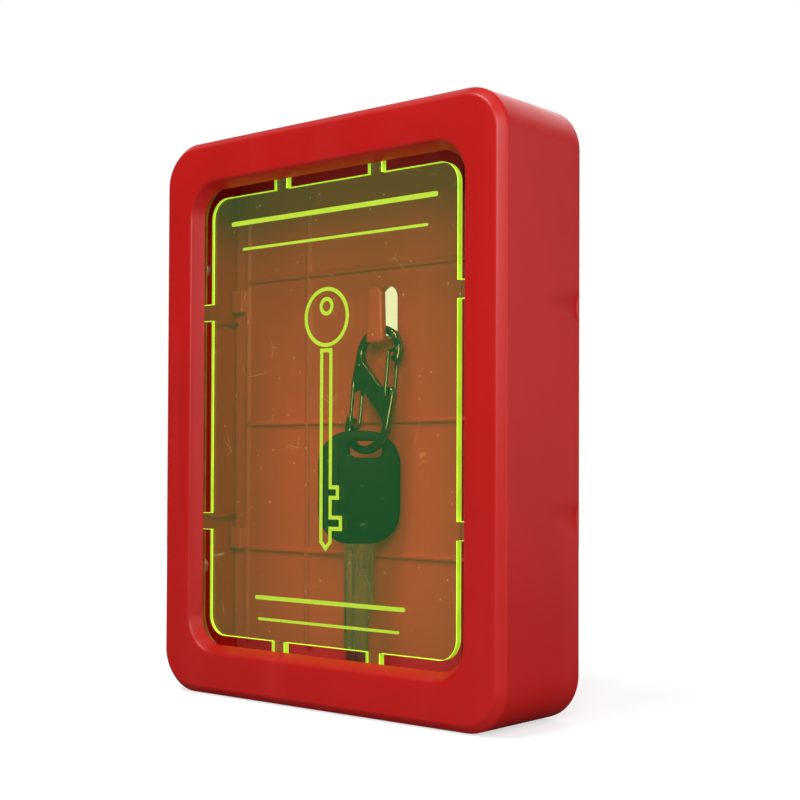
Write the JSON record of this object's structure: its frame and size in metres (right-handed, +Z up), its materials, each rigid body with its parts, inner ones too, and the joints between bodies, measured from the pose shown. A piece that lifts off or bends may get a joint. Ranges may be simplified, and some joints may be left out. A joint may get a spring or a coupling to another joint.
{
  "type": "break glass key box",
  "caption": "Shallow red wall box with a snap-out fluorescent acrylic front and a key hanging inside from an S-carabiner on a hook.",
  "frame": {"origin": "centre of the face that lies against the wall, which is also the centre of the wall screw pattern", "axes": "+Z up, -Y out of the front of the box, +X to the right seen from the front"},
  "size_m": [0.128, 0.035, 0.165],
  "materials": {
    "red_plastic": "satin moulded",
    "acrylic": "clear fluorescent yellow-green, glowing at its cut edges",
    "screw_steel": "plain",
    "black_metal": "satin black",
    "black_plastic": "matt moulded",
    "key_metal": "nickel plated, milled"
  },
  "bodies": {
    "base": {"back_plate": "red_plastic"},
    "cover": {"front_cover": "red_plastic", "break_pane": "acrylic", "pane_screws": "screw_steel"},
    "carabiner": {"carabiner_body": "black_metal"},
    "upper_gate_body": {"upper_gate": "black_metal"},
    "lower_gate_body": {"lower_gate": "black_metal"},
    "key": {"key_head": "black_plastic", "key_blade": "key_metal"}
  },
  "joints": [
    {"name": "cover_off", "type": "slide", "parent": "base", "child": "cover", "axis": [0, -1, 0], "range_m": [0, 0.045]},
    {"name": "carabiner_swing", "type": "hinge", "parent": "base", "child": "carabiner", "pos_m": [0.0024, -0.00958, 0.018], "axis": [0, -0.9848, 0.1736], "range_deg": [-12, 12]},
    {"name": "key_swing", "type": "hinge", "parent": "carabiner", "child": "key", "pos_m": [0.00128, -0.01329, -0.00305], "axis": [0, -0.9848, 0.1736], "range_deg": [-8, 8]},
    {"name": "upper_gate_open", "type": "hinge", "parent": "carabiner", "child": "upper_gate_body", "pos_m": [0.00813, -0.01172, 0.00589], "axis": [0, -0.9848, 0.1736], "range_deg": [0, 30], "stiffness_Nm_per_rad": 0.02, "springref_deg": -5},
    {"name": "lower_gate_open", "type": "hinge", "parent": "carabiner", "child": "lower_gate_body", "pos_m": [-0.00445, -0.01116, 0.00906], "axis": [0, -0.9848, 0.1736], "range_deg": [0, 30], "stiffness_Nm_per_rad": 0.02, "springref_deg": -5}
  ]
}
